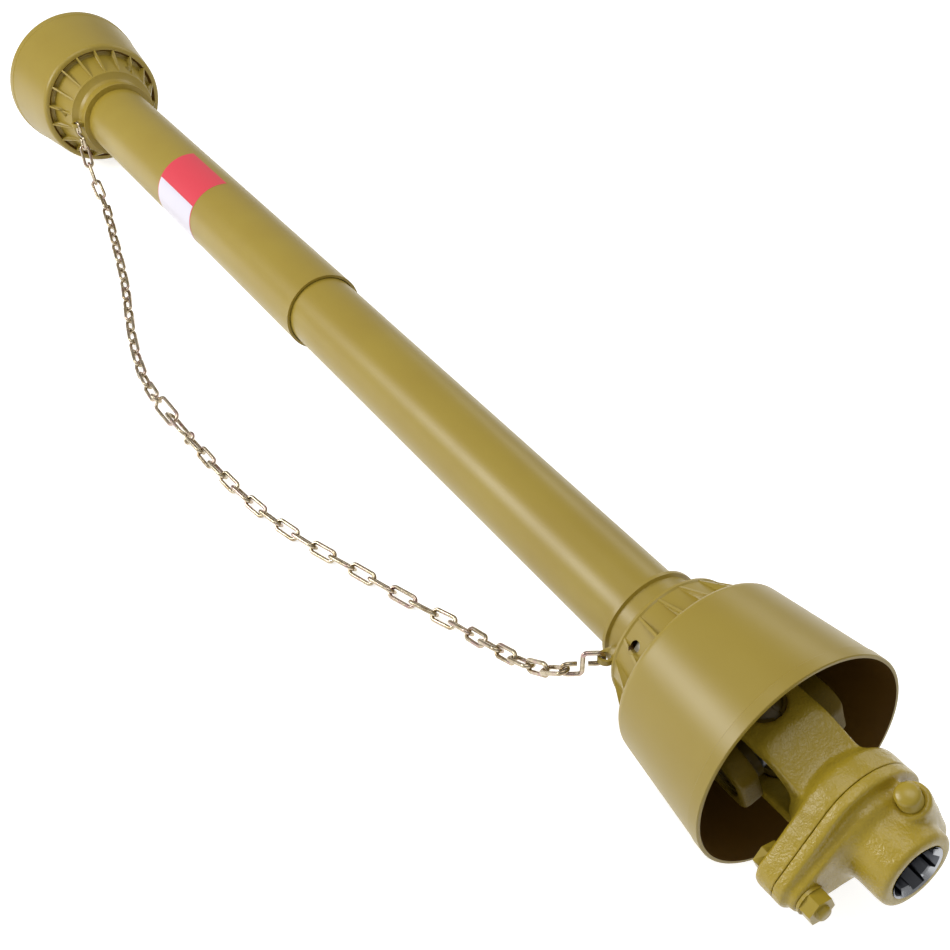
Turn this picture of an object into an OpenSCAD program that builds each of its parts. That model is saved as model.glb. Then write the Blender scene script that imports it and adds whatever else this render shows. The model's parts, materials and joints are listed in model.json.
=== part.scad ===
// Guarded drive shaft for a power take-off, with a shear-bolt limiter.
// X runs from the tractor end to the implement end, and Z is up.
// The origin is the centre of the tractor yoke's splined bore, where its lands begin.

/* [Length] */
// Guard tube that shows between the tractor collar and the end of the outer tube
outer_tube_show = 498; // [450:1:560]
// Inner guard tube that shows between the outer tube and the implement collar
inner_tube_show = 468; // [420:1:480]
// How far the inner guard tube reaches into the outer one
guard_overlap = 110; // [90:1:130]
// How far the inner profile tube reaches into the outer one
profile_overlap = 115; // [95:1:130]

/* [Guard] */
// Length of a bell from collar to mouth
bell_len = 146; // [140:1:160]
// Outer radius of a bell's mouth
mouth_r = 79; // [76:0.5:84]
// Outer radius of a bell at its shoulder
shoulder_r = 68.5; // [66:0.5:71]
// Wall of a bell
bell_wall = 2.4; // [2:0.1:3]
// Plain band round the mouth
band_w = 9; // [6:0.5:12]
// Outer radius of the outer guard tube
outer_tube_r = 35.7; // [35.4:0.1:36.4]
// Outer radius of the inner guard tube
inner_tube_r = 32.6; // [32:0.1:32.8]
// Wall of the guard tubes
tube_wall = 2.4; // [2.2:0.1:2.6]
// Number of ribs behind the shoulder
rib_count = 18; // [12:1:24]
// Thickness of a rib
rib_t = 1.8; // [1.2:0.1:3]
// Diameter of the three holes in the cone
cone_hole_d = 8; // [5:0.5:9]
// Turn of the holes about the shaft, from the chain side upwards
cone_hole_turn = 7; // [3:1:13]

/* [Joints] */
// How far a cross centre sits inside its bell's mouth
cross_inset = 25; // [22:0.5:28]
// Turn of the joints about the shaft
joint_phase = 20; // [0:1:45]
// Diameter of a bearing cap
cap_d = 27; // [26:0.1:28]
// Length of a cross over its bearing caps
cross_span = 74.6; // [74:0.1:75.5]
// Diameter of a cross journal
journal_d = 16.5; // [15:0.1:18]
// Width of a yoke ear
ear_w = 46; // [43:0.5:48]

/* [Drive tubes] */
// Radius of the rounded corners of the outer profile
profile_corner_r = 11; // [10.5:0.1:11.2]
// Distance of a corner's centre from the axis
profile_corner_d = 14.33; // [13.8:0.01:14.6]
// Wall of the outer profile tube
outer_profile_wall = 3.4; // [3:0.1:4]
// Wall of the inner profile tube
inner_profile_wall = 4.5; // [3.5:0.1:5]

/* [Splined bores] */
// Radius at the bottom of a spline slot
spline_r = 17.45; // [17.2:0.05:17.6]
// Radius at the tip of a spline land
land_r = 14.85; // [14.5:0.05:15]
// Width of a spline slot
slot_w = 8.7; // [8:0.1:9]
// Radius of both hubs
hub_r = 26; // [25:0.5:28]
// From the tractor cross centre to the open face of its yoke
quick_reach = 96; // [94:1:110]

/* [Shear-bolt limiter] */
// From the implement cross centre to the limiter yoke's flange
flange_at = 58; // [56:0.5:62]
// Thickness of the yoke's flange
yoke_flange_t = 15; // [12:0.5:16]
// Thickness of the hub's flange
hub_flange_t = 14.7; // [12:0.1:16]
// Radius of both flanges
flange_r = 40; // [38:0.5:42]
// Length of the hub in front of its flange
hub_nose = 30; // [28:0.5:40]
// Distance of the shear bolt from the axis
lobe_reach = 53; // [51:0.5:55]
// Radius of the lobe round the shear bolt
lobe_r = 15; // [13:0.5:16]
// Turn of the lobe about the shaft, from the chain side downwards
lobe_turn = 25; // [0:1:45]
// Diameter of the shear bolt
bolt_d = 10; // [8:1:10]

/* [Push pins] */
// Distance of a push pin's centre line from the axis
pin_offset = 23.6; // [23.5:0.1:24.2]
// Radius of the pin where it locks
pin_r = 8.5; // [8.2:0.1:8.6]
// Travel of the pin
pin_travel = 9; // [8.8:0.1:9.4]
// Height of the pin's head above its boss
pin_stands = 9.5; // [9.5:0.1:11]

/* [Chain] */
// Diameter of the chain wire
wire_d = 3.2; // [2.8:0.1:3.6]
// Inner length of a link
link_pitch = 21.6; // [20:0.1:24]
// Outer width of a link
link_w = 11.6; // [11:0.1:13]
// Play between two links
link_play = 0.5; // [0.4:0.05:0.7]
// Straight part of a clip
clip_len = 26; // [22:1:30]
// How far the two clips reach into each other
clip_nest = 15; // [13:1:18]

/* [Hidden] */

$fn = 96;
guard_colour = "#9f8b42";
yoke_colour = "#b09e3c";
steel_colour = "#b9bcc0";
dark_steel_colour = "#6b6e72";
nylon_colour = "#e4dfd0";
zinc_colour = "#cdbf9b";

// Clearances
press_gap = 0.02;
run_gap = 0.05;
face_gap = 0.3;
bore_relief = 1;

// Stations along the shaft
bore_lead = spline_r + 1 - land_r;
tractor_cross_x = quick_reach - bore_lead;
tractor_mouth_x = tractor_cross_x - cross_inset;
tractor_collar_x = tractor_mouth_x + bell_len;
outer_tube_end_x = tractor_collar_x + outer_tube_show;
implement_collar_x = outer_tube_end_x + inner_tube_show;
implement_mouth_x = implement_collar_x + bell_len;
implement_cross_x = implement_mouth_x - cross_inset;
hub_face_x = implement_cross_x + flange_at + yoke_flange_t + face_gap + hub_flange_t + hub_nose;
floor_z = -mouth_r;

// Bell, measured from the collar's lip
neck_wall = 3.5;
lip_t = 2.6;
lip_out = 2.2;
neck_len = 15;
ridge_r = 48;
ridge_at = 26;
ledge_at = 54.5;
ledge_in_r = shoulder_r - 6;
ledge_out_r = shoulder_r - 3.5;
shoulder_at = 60;
pocket_r = ledge_in_r - 5;
pocket_at = ledge_at + 3.5;
band_step = 0.5;
tube_seat = 26;
seat_r = 46;
ring_w = 7.8;
ring_at = 34;
hub_to_neck = 1;
cone_hole_at = ridge_at + 10.5;
implement_hole_turn = 33;
cone_cut_len = 30;
lug_at = 14;
lug_t = 4;
lug_hole_r = 3.5;
lug_edge = 5.5;
lug_reach = 46;

// Yokes, measured from the cross centre
ear_in = 26;
ear_out = 41;
ear_tip = 20.5;
eye_margin = 0.4;
eye_back = 4;
ear_round_r = 45;
throat_at = 20;
ear_bend_at = 24;
tube_hub_r = tube_inner(inner_tube_r) - hub_to_neck;
groove_depth = 2;
groove_w = 8;
tube_hub_end = bell_len - cross_inset - tube_seat - 1;
groove_at = bell_len - cross_inset - ring_at - groove_w + (groove_w - ring_w) / 2;
spring_pin_r = 5;
spring_pin_at = (throat_at + ear_in + groove_at) / 2;
spring_pin_sunk = 0.6;
socket_lead = 4;
socket_at = spring_pin_at - spring_pin_r - socket_lead;
cap_r = cap_d / 2;
journal_r = journal_d / 2;
cap_depth = 18.4;
cap_end_t = 1.8;
nipple_seat = 15.2;
nipple_r = 4;
nipple_thread_r = 2.8;
nipple_shank = 5;
ring_t = 1.2;
ring_grip = 0.9;

// Limiter
hub_journal_r = 23.5;
waist_r = 28;
rim_t = 8;
pad_r = 31;
pad_lobe_r = 11.5;
spot_at = 48;
retaining_t = 2;
retaining_r = 27;
retaining_grip = 1.5;
bolt_head_t = 6.4;
bolt_af = 17;
washer_t = 2;
washer_r = 10;
nut_t = 8.4;
bolt_tail = 3;
lobe_front = flange_at + yoke_flange_t + face_gap + hub_flange_t;

// Push pins
pin_back = 23;
pin_head_r = pin_r - 1;
boss_r = 12;
boss_top = pin_travel + 15;
stop_at = boss_top - 3.5;
stop_t = 2.5;
lock_len = 8.3;
plug_t = 2;
spring_len = pin_travel + 7;
boss_bottom = lock_len + spring_len + plug_t;
spring_wire_r = 0.7;
spring_turns = 4.5;
spring_clear = 1.2;

// Chain
wire_r = wire_d / 2;
link_r = link_w / 2 - wire_r;
hook_inner = 3;
hook_r = hook_inner + wire_r;
hook_arm = 9;
hook_bend = 3;
hook_end = 3.6;
hook_turn = 60;
hook_seat_gap = 0.05;
// Depth of the lug's edge inside a hook's loop where the wire rests on it
hook_grip = sqrt(pow(hook_inner - hook_seat_gap, 2) - pow(lug_t / 2, 2));
hook_drop = sqrt(pow(hook_inner - hook_seat_gap, 2) - pow(hook_r - lug_hole_r, 2)) - lug_t / 2;
first_link_turn = 16;
first_link_at = wire_r + 0.6;
eye_r = 4.5;
clip_r = 6;
clip_reach = 2 * eye_r - wire_r - link_play / 2 + 2 * clip_r + clip_len + wire_r;
clip_step = clip_reach - clip_nest / 2;
route_lift = link_r * sin(45) + wire_r + 0.4;
twist_links = 5;
// Share of the way between the lugs, distance from the shaft, height above the lying chain
route = [
    [0.021, -46, 33], [0.0345, -46.2, 17], [0.053, -47.5, 7], [0.074, -50.5, 2.2], [0.095, -55.5, 0.4],
    [0.14, -67, 0],
    [0.24, -93, 0], [0.327, -120, 0], [0.391, -137, 0.3], [0.44, -145, 1.2], [0.495, -146, 1.4],
    [0.55, -144, 1.2], [0.607, -141, 0.3], [0.66, -134, 0], [0.713, -121, 0], [0.76, -105, 0],
    [0.805, -90, 0], [0.835, -79, 0], [0.851, -75, 3], [0.87, -73, 8], [0.89, -73, 15],
    [0.9125, -73, 24], [0.934, -73, 33], [0.955, -73, 43], [0.973, -72, 54]
];
clip_share = 0.5;
route_steps = 10;

function tube_inner(r) = r - tube_wall;

// Places a turned shape along X, with its own Z pointing to +X or to -X
module along(x, way = 1) {
    translate([x, 0, 0])
        rotate([0, 90 * way, 0])
            children();
}

module ring(r_out, r_in, h) {
    difference() {
        cylinder(r = r_out, h = h);
        translate([0, 0, -1]) cylinder(r = r_in, h = h + 2);
    }
}

// Guard: one moulding from collar to mouth, z measured from the lip
module bell_profile(tube_r) {
    neck_r = tube_r + neck_wall;
    wall_slope = (mouth_r - shoulder_r) / (bell_len - shoulder_at);
    band_at = bell_len - band_w;
    band_r = shoulder_r + wall_slope * (band_at - shoulder_at);
    polygon([
        [tube_r + press_gap, 0],
        [neck_r + lip_out, 0],
        [neck_r + lip_out, lip_t],
        [neck_r, lip_t + 1.2],
        [neck_r, neck_len],
        [neck_r + 2, neck_len + 3.6],
        [ridge_r - 3.5, ridge_at - 5],
        [ridge_r, ridge_at - 3.5],
        [ridge_r + 0.6, ridge_at - 1.5],
        [ridge_r, ridge_at],
        [pocket_r - 1.5, pocket_at - 1],
        [pocket_r, pocket_at],
        [pocket_r + 2.6, pocket_at],
        [ledge_in_r - 0.6, ledge_at + 0.6],
        [ledge_in_r, ledge_at],
        [ledge_out_r, ledge_at],
        [ledge_out_r + 2, ledge_at + 1.1],
        [ledge_out_r + 3.1, ledge_at + 3.1],
        [shoulder_r, shoulder_at],
        [band_r, band_at],
        [band_r + band_step, band_at + 0.4],
        [mouth_r, bell_len - 0.6],
        [mouth_r - 0.6, bell_len],
        [mouth_r - bell_wall, bell_len],
        [shoulder_r - bell_wall, shoulder_at + bell_wall],
        [shoulder_r - bell_wall - 2.5, pocket_at + bell_wall + 0.6],
        [pocket_r - bell_wall, pocket_at + bell_wall],
        [seat_r + 3.5, ring_at + ring_w + 4],
        [seat_r, ring_at + ring_w + 0.5],
        [seat_r, ring_at],
        [seat_r - 4, ring_at - 0.5],
        [neck_r + 0.5, tube_seat + 1.5],
        [tube_r - 1.8, tube_seat + 1.5],
        [tube_r - 1.8, tube_seat],
        [tube_r + press_gap, tube_seat]
    ]);
}

module bell_ribs() {
    for (i = [0 : rib_count - 1])
        rotate([0, 0, i * 360 / rib_count])
            rotate([90, 0, 0])
                linear_extrude(height = rib_t, center = true)
                    polygon([
                        [ridge_r - 1, ridge_at],
                        [ridge_r + 0.4, ridge_at - 0.6],
                        [ledge_in_r + 0.8, ledge_at + 0.4],
                        [ledge_in_r + 0.8, pocket_at + 1],
                        [pocket_r - 1, pocket_at + 1]
                    ]);
}

module chain_lug(neck_r) {
    translate([0, 0, lug_at])
        rotate([0, 90, 0])
            difference() {
                union() {
                    translate([0, -lug_reach, 0])
                        cylinder(r = lug_edge, h = lug_t, center = true);
                    translate([-lug_edge, -lug_reach, -lug_t / 2])
                        cube([2 * lug_edge, lug_reach - neck_r + 1, lug_t]);
                }
                translate([0, -lug_reach, 0])
                    cylinder(r = lug_hole_r, h = lug_t + 2, center = true);
            }
}

module bell(tube_r, hole_way, hole_turn) {
    difference() {
        union() {
            rotate_extrude() bell_profile(tube_r);
            bell_ribs();
            chain_lug(tube_r + neck_wall);
        }
        for (i = [0 : 2])
            rotate([0, 0, -90 + hole_way * (hole_turn + i * 120)])
                translate([ridge_r, 0, cone_hole_at])
                    rotate([0, 70, 0])
                        cylinder(d = cone_hole_d, h = cone_cut_len, center = true);
    }
}

module tractor_bell() {
    color(guard_colour)
        along(tractor_collar_x, -1)
            bell(outer_tube_r, 1, cone_hole_turn);
}

module implement_bell() {
    color(guard_colour)
        along(implement_collar_x)
            bell(inner_tube_r, -1, implement_hole_turn);
}

module outer_guard_tube() {
    start_x = tractor_collar_x - tube_seat;
    color(guard_colour)
        along(start_x)
            ring(outer_tube_r, tube_inner(outer_tube_r), outer_tube_end_x - start_x);
}

module inner_guard_tube() {
    start_x = outer_tube_end_x - guard_overlap;
    color(guard_colour)
        along(start_x)
            ring(inner_tube_r, tube_inner(inner_tube_r), implement_collar_x + tube_seat - start_x);
}

// Nylon ring that carries the bell on the yoke's groove
module bearing_ring() {
    groove_r = tube_hub_r - groove_depth;
    color(nylon_colour)
        rotate_extrude()
            polygon([
                [groove_r + run_gap, 0.1],
                [tube_hub_r + 3, 0.1],
                [tube_hub_r + 5, 2.4],
                [seat_r - 3, 2.4],
                [seat_r - 3, 0.1],
                [seat_r - press_gap, 0.1],
                [seat_r - press_gap, ring_w - 0.1],
                [seat_r - 3, ring_w - 0.1],
                [seat_r - 3, ring_w - 2.4],
                [tube_hub_r + 5, ring_w - 2.4],
                [tube_hub_r + 3, ring_w - 0.1],
                [groove_r + run_gap, ring_w - 0.1]
            ]);
}

module tractor_bearing_ring() {
    along(tractor_collar_x - ring_at, -1) bearing_ring();
}

module implement_bearing_ring() {
    along(implement_collar_x + ring_at) bearing_ring();
}

// Fork with its ears along Z and its body towards +X, from the cross centre
module fork(body_end, body_r) {
    difference() {
        intersection() {
            translate([-ear_tip, -ear_w / 2, -ear_out])
                cube([ear_tip + body_end, ear_w, 2 * ear_out]);
            union() {
                cylinder(r = ear_w / 2 + eye_margin, h = 3 * ear_out, center = true);
                translate([-eye_back, -ear_w, -2 * ear_out])
                    cube([eye_back + 2 * body_end, 2 * ear_w, 4 * ear_out]);
            }
            rotate([90, 0, 0])
                linear_extrude(height = ear_w + 2, center = true)
                    polygon([
                        [-ear_tip, -ear_out + 2],
                        [-ear_tip + 2, -ear_out],
                        [ear_bend_at, -ear_out],
                        [body_end, -body_r],
                        [body_end, body_r],
                        [ear_bend_at, ear_out],
                        [-ear_tip + 2, ear_out],
                        [-ear_tip, ear_out - 2]
                    ]);
            rotate([0, 90, 0])
                cylinder(r = ear_round_r, h = 4 * body_end, center = true);
        }
        translate([-ear_tip - 1, -ear_w, -ear_in])
            cube([ear_tip + 1 + throat_at, 2 * ear_w, 2 * ear_in]);
        translate([throat_at, 0, 0])
            rotate([90, 0, 0])
                cylinder(r = ear_in, h = 2 * ear_w, center = true);
        cap_bores();
    }
}

module cap_bores() {
    cylinder(r = cap_r, h = 3 * ear_out, center = true);
    for (side = [-1, 1])
        translate([0, 0, side * (cross_span / 2 + ring_t / 2 + press_gap)])
            cylinder(r = cap_r + ring_grip, h = ring_t, center = true);
}

module throat_cut() {
    translate([throat_at, 0, 0])
        rotate([90, 0, 0])
            cylinder(r = ear_in, h = 3 * ear_w, center = true);
}

module bearing_caps() {
    color(steel_colour)
        for (side = [0, 180])
            rotate([side, 0, 0])
                translate([0, 0, cross_span / 2 - cap_depth])
                    difference() {
                        cylinder(r = cap_r - press_gap, h = cap_depth);
                        translate([0, 0, -1])
                            cylinder(r = journal_r + run_gap, h = cap_depth - cap_end_t + 1);
                    }
}

module snap_rings() {
    color(dark_steel_colour)
        for (side = [-1, 1])
            translate([0, 0, side * (cross_span / 2 + ring_t / 2 + press_gap)])
                difference() {
                    cylinder(r = cap_r + ring_grip - press_gap, h = ring_t - press_gap, center = true);
                    cylinder(r = cap_r - 2, h = 2 * ring_t, center = true);
                    translate([cap_r, 0, 0])
                        cube([2 * cap_r - 4, 5, 2 * ring_t], center = true);
                }
}

module cross() {
    journal_end = cross_span / 2 - cap_end_t - 0.2;
    neck_end = cross_span / 2 - cap_depth - 0.3;
    color(dark_steel_colour)
        difference() {
            union() {
                sphere(r = 15);
                for (turn = [0, 90, 180, 270])
                    rotate([turn, 0, 0]) {
                        cylinder(r = 11, h = neck_end);
                        cylinder(r = journal_r, h = journal_end - 1);
                        translate([0, 0, journal_end - 1])
                            cylinder(r1 = journal_r, r2 = journal_r - 1, h = 1);
                    }
            }
            rotate([45, 0, 0]) {
                translate([0, 0, nipple_seat]) cylinder(r = nipple_r + 1, h = nipple_seat);
                translate([0, 0, nipple_seat - nipple_shank - 1])
                    cylinder(r = nipple_thread_r, h = nipple_seat);
            }
        }
}

module grease_nipple() {
    color(steel_colour)
        rotate([45, 0, 0])
            translate([0, 0, nipple_seat]) {
                cylinder(r = nipple_r, h = 5, $fn = 6);
                cylinder(r = 2, h = 9);
                translate([0, 0, 9]) sphere(r = 2.6);
                translate([0, 0, -nipple_shank])
                    cylinder(r = nipple_thread_r - press_gap, h = nipple_shank + 1);
            }
}

// Three-sided bar with rounded corners of one radius
module profile_bar(corner, h) {
    linear_extrude(height = h)
        polygon([
            for (turn = [0, 120, 240])
                for (side = [-60 : 8 : 60])
                    [
                        profile_corner_d * cos(turn) + corner * cos(turn + side),
                        profile_corner_d * sin(turn) + corner * sin(turn + side)
                    ]
        ]);
}

module profile_tube(corner, wall, h) {
    difference() {
        profile_bar(corner, h);
        translate([0, 0, -1]) profile_bar(corner - wall, h + 2);
    }
}

sliding_corner_r = profile_corner_r - outer_profile_wall - 0.35;

// Tube yoke with its body towards +X, from the cross centre
module tube_yoke(corner, joint_turn) {
    difference() {
        union() {
            fork(flange_at, tube_hub_r);
            difference() {
                along(throat_at + ear_in * 0.8) cylinder(r = tube_hub_r, h = tube_hub_end - throat_at - ear_in * 0.8);
                throat_cut();
            }
        }
        along(groove_at)
            ring(ear_round_r + 1, tube_hub_r - groove_depth, groove_w);
        along(socket_at)
            rotate([0, 0, joint_turn])
                profile_bar(corner + press_gap, tube_hub_end);
        translate([spring_pin_at, 0, 0])
            cylinder(r = spring_pin_r, h = 3 * tube_hub_r, center = true);
    }
}

module spring_pin() {
    pin_len = 2 * (tube_hub_r - groove_depth - spring_pin_sunk);
    color(steel_colour)
        translate([spring_pin_at, 0, 0])
            difference() {
                cylinder(r = spring_pin_r - press_gap, h = pin_len, center = true);
                cylinder(r = spring_pin_r - 1.6, h = pin_len + 2, center = true);
                translate([0, -0.8, -pin_len]) cube([2 * spring_pin_r, 1.6, 2 * pin_len]);
            }
}

// Holds what is built round a cross centre at that end's place and turn
module at_tractor_cross(way) {
    translate([tractor_cross_x, 0, 0])
        rotate([joint_phase, 0, 0])
            scale_way(way)
                children();
}

module at_implement_cross(way) {
    translate([implement_cross_x, 0, 0])
        rotate([joint_phase, 0, 0])
            scale_way(way)
                children();
}

module scale_way(way) {
    rotate([0, 0, way > 0 ? 0 : 180])
        children();
}

module tractor_tube_yoke() {
    color(yoke_colour)
        at_tractor_cross(1)
            rotate([90, 0, 0])
                tube_yoke(profile_corner_r, 0);
}

module tractor_tube_caps() {
    at_tractor_cross(1) rotate([90, 0, 0]) bearing_caps();
}

module tractor_tube_snap_rings() {
    at_tractor_cross(1) rotate([90, 0, 0]) snap_rings();
}

module tractor_spring_pin() {
    at_tractor_cross(1) rotate([90, 0, 0]) spring_pin();
}

module tractor_cross() {
    at_tractor_cross(1) cross();
}

module tractor_grease_nipple() {
    at_tractor_cross(1) grease_nipple();
}

module outer_profile_tube() {
    start = socket_at;
    tube_end = outer_tube_end_x - 15 - tractor_cross_x;
    color(dark_steel_colour)
        difference() {
            at_tractor_cross(1)
                rotate([90, 0, 0])
                    along(start)
                        profile_tube(profile_corner_r, outer_profile_wall, tube_end - start);
            at_tractor_cross(1)
                rotate([90, 0, 0])
                    translate([spring_pin_at, 0, 0])
                        cylinder(r = spring_pin_r, h = 3 * tube_hub_r, center = true);
        }
}

module implement_tube_yoke() {
    color(yoke_colour)
        at_implement_cross(-1)
            rotate([90, 0, 0])
                tube_yoke(sliding_corner_r, 180);
}

module implement_tube_caps() {
    at_implement_cross(-1) rotate([90, 0, 0]) bearing_caps();
}

module implement_tube_snap_rings() {
    at_implement_cross(-1) rotate([90, 0, 0]) snap_rings();
}

module implement_spring_pin() {
    at_implement_cross(-1) rotate([90, 0, 0]) spring_pin();
}

module implement_cross() {
    at_implement_cross(1) cross();
}

module implement_grease_nipple() {
    at_implement_cross(1) grease_nipple();
}

module inner_profile_tube() {
    start = socket_at;
    tube_end = implement_cross_x - (outer_tube_end_x - 15 - profile_overlap);
    color(steel_colour)
        difference() {
            at_implement_cross(-1)
                rotate([90, 0, 0])
                    along(start)
                        rotate([0, 0, 180])
                            profile_tube(sliding_corner_r, inner_profile_wall, tube_end - start);
            at_implement_cross(-1)
                rotate([90, 0, 0])
                    translate([spring_pin_at, 0, 0])
                        cylinder(r = spring_pin_r, h = 3 * tube_hub_r, center = true);
        }
}

// Six-slot bore along Z
module splined_bore(h) {
    cylinder(r = land_r, h = h);
    for (turn = [0 : 60 : 300])
        rotate([0, 0, turn])
            intersection() {
                translate([0, -slot_w / 2, 0]) cube([spline_r + 1, slot_w, h]);
                cylinder(r = spline_r, h = h);
            }
}

module bore_chamfer() {
    cylinder(r1 = land_r + bore_lead, r2 = land_r, h = bore_lead);
    translate([0, 0, -1]) cylinder(r = land_r + bore_lead, h = 1);
}

// Push-pin boss and its bore, along Z beside the axis
module pin_boss() {
    translate([0, pin_offset, -boss_bottom]) cylinder(r = boss_r, h = boss_bottom + boss_top);
}

module pin_bore() {
    translate([0, pin_offset, -boss_bottom - 1])
        cylinder(r = pin_r + run_gap, h = boss_bottom + stop_at + 1);
    translate([0, pin_offset, 0])
        cylinder(r = pin_head_r + run_gap, h = boss_top + 1);
    translate([0, pin_offset, boss_top])
        cylinder(r = pin_head_r + 0.8, h = 3 * boss_r);
}

module push_pin() {
    head_top = boss_top + pin_stands;
    color(yoke_colour)
        translate([0, pin_offset, 0])
            rotate_extrude()
                polygon([
                    [0, -lock_len],
                    [pin_r - 1, -lock_len],
                    [pin_r, -lock_len + 1],
                    [pin_r, -0.5],
                    [5.6, 1.4],
                    [5.6, stop_at - stop_t - 1.5],
                    [pin_r, stop_at - stop_t],
                    [pin_r, stop_at - press_gap],
                    [pin_head_r, stop_at - press_gap],
                    [pin_head_r, head_top - 1.6],
                    [pin_head_r - 1.6, head_top],
                    [0, head_top]
                ]);
}

module pin_plug() {
    color(dark_steel_colour)
        translate([0, pin_offset, -boss_bottom])
            cylinder(r = pin_r + run_gap - press_gap, h = plug_t);
}

// Round wire swept along a helix of this radius and height
module coil(r, wire, h, turns) {
    sides = 6;
    steps = ceil(turns * 14);
    points = [
        for (i = [0 : steps])
            for (j = [0 : sides - 1])
                let (
                    a = 360 * turns * i / steps,
                    rr = r + wire * cos(360 * j / sides)
                )
                    [rr * cos(a), rr * sin(a), h * i / steps + wire * sin(360 * j / sides)]
    ];
    walls = [
        for (i = [0 : steps - 1])
            for (j = [0 : sides - 1])
                let (k = (j + 1) % sides)
                    [i * sides + j, i * sides + k, (i + 1) * sides + k, (i + 1) * sides + j]
    ];
    first_end = [for (j = [0 : sides - 1]) sides - 1 - j];
    last_end = [for (j = [0 : sides - 1]) steps * sides + j];
    polyhedron(points, concat([first_end], walls, [last_end]), convexity = 6);
}

module pin_spring() {
    color(steel_colour)
        translate([0, pin_offset, -lock_len - spring_len + spring_wire_r + face_gap])
            coil(pin_r - spring_clear - spring_wire_r, spring_wire_r,
                spring_len - 2 * spring_wire_r - 2 * face_gap, spring_turns);
}

module quick_release_yoke() {
    color(yoke_colour)
        at_tractor_cross(-1)
            difference() {
                union() {
                    fork(flange_at, hub_r);
                    difference() {
                        along(throat_at + ear_in * 0.8) hub_barrel(quick_reach - throat_at - ear_in * 0.8);
                        throat_cut();
                    }
                    translate([quick_reach - pin_back, 0, 0]) pin_boss();
                }
                along(throat_at) splined_bore(quick_reach);
                along(throat_at) cylinder(r = spline_r + bore_relief, h = ear_in + bore_relief);
                along(quick_reach, -1) bore_chamfer();
                translate([quick_reach - pin_back, 0, 0]) pin_bore();
            }
}

module hub_barrel(h) {
    cylinder(r = hub_r, h = h - 2);
    translate([0, 0, h - 2]) cylinder(r1 = hub_r, r2 = hub_r - 2, h = 2);
}

module tractor_yoke_caps() {
    at_tractor_cross(-1) bearing_caps();
}

module tractor_yoke_snap_rings() {
    at_tractor_cross(-1) snap_rings();
}

module tractor_push_pin() {
    at_tractor_cross(-1) translate([quick_reach - pin_back, 0, 0]) push_pin();
}

module tractor_pin_spring() {
    at_tractor_cross(-1) translate([quick_reach - pin_back, 0, 0]) pin_spring();
}

module tractor_pin_plug() {
    at_tractor_cross(-1) translate([quick_reach - pin_back, 0, 0]) pin_plug();
}

// Round plate with a lobe towards -Y, its thickness along X
module lobe_plate(r_main, r_lobe, thick) {
    lean = acos((r_main - r_lobe) / lobe_reach);
    along(0)
        union() {
            cylinder(r = r_main, h = thick);
            translate([0, -lobe_reach, 0]) cylinder(r = r_lobe, h = thick);
            linear_extrude(height = thick)
                polygon([
                    [r_main * sin(lean), -r_main * cos(lean)],
                    [r_lobe * sin(lean), -lobe_reach - r_lobe * cos(lean)],
                    [-r_lobe * sin(lean), -lobe_reach - r_lobe * cos(lean)],
                    [-r_main * sin(lean), -r_main * cos(lean)]
                ]);
        }
}

module at_bolt(x) {
    rotate([lobe_turn - joint_phase, 0, 0])
        translate([x, -lobe_reach, 0])
            rotate([0, 90, 0])
                children();
}

// Half outline of the hollow flare in front of the yoke's flange
module yoke_flare() {
    polygon([
        [0, flange_at - 21],
        [waist_r - 2, flange_at - 21],
        [waist_r, flange_at - 14],
        [waist_r + 2, flange_at - 9.5],
        [waist_r + 5, flange_at - 6],
        [flange_r - 3.5, flange_at - 2.5],
        [flange_r - 1, flange_at + 1],
        [0, flange_at + 1]
    ]);
}

module limiter_yoke() {
    color(yoke_colour)
        at_implement_cross(1)
            difference() {
                union() {
                    fork(flange_at, waist_r);
                    difference() {
                        along(0) rotate_extrude() yoke_flare();
                        throat_cut();
                    }
                    rotate([lobe_turn - joint_phase, 0, 0])
                        translate([flange_at, 0, 0])
                            lobe_plate(flange_r, lobe_r, yoke_flange_t);
                }
                along(throat_at) cylinder(r = hub_journal_r + run_gap, h = 2 * flange_at);
                along(spot_at, -1) cylinder(r = retaining_r + face_gap, h = 8);
                at_bolt(0) cylinder(d = bolt_d + 0.2, h = 2 * flange_at);
            }
}

module limiter_hub() {
    hub_back = flange_at + yoke_flange_t + face_gap;
    hub_end = hub_face_x - implement_cross_x;
    journal_back = spot_at - retaining_t - 2;
    color(yoke_colour)
        at_implement_cross(1)
            difference() {
                union() {
                    along(journal_back) cylinder(r = hub_journal_r, h = hub_back - journal_back + 1);
                    rotate([lobe_turn - joint_phase, 0, 0])
                        translate([hub_back, 0, 0])
                            lobe_plate(flange_r, lobe_r, rim_t);
                    rotate([lobe_turn - joint_phase, 0, 0])
                        translate([hub_back, 0, 0])
                            lobe_plate(pad_r, pad_lobe_r, hub_flange_t);
                    along(lobe_front) cylinder(r1 = pad_r - 0.5, r2 = hub_r, h = 5);
                    along(lobe_front) hub_barrel(hub_nose);
                    rotate([implement_pin_turn, 0, 0])
                        translate([hub_end - pin_back, 0, 0]) pin_boss();
                }
                along(spot_at - retaining_t)
                    ring(hub_journal_r + 1, hub_journal_r - retaining_grip, retaining_t);
                along(0) splined_bore(2 * hub_end);
                along(hub_end, -1) bore_chamfer();
                rotate([implement_pin_turn, 0, 0])
                    translate([hub_end - pin_back, 0, 0]) pin_bore();
                at_bolt(0) cylinder(d = bolt_d + 0.2, h = 2 * hub_end);
            }
}

// The push pin leans towards the chain side, turned from the joint's own phase
implement_pin_turn = 9.3;

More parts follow.
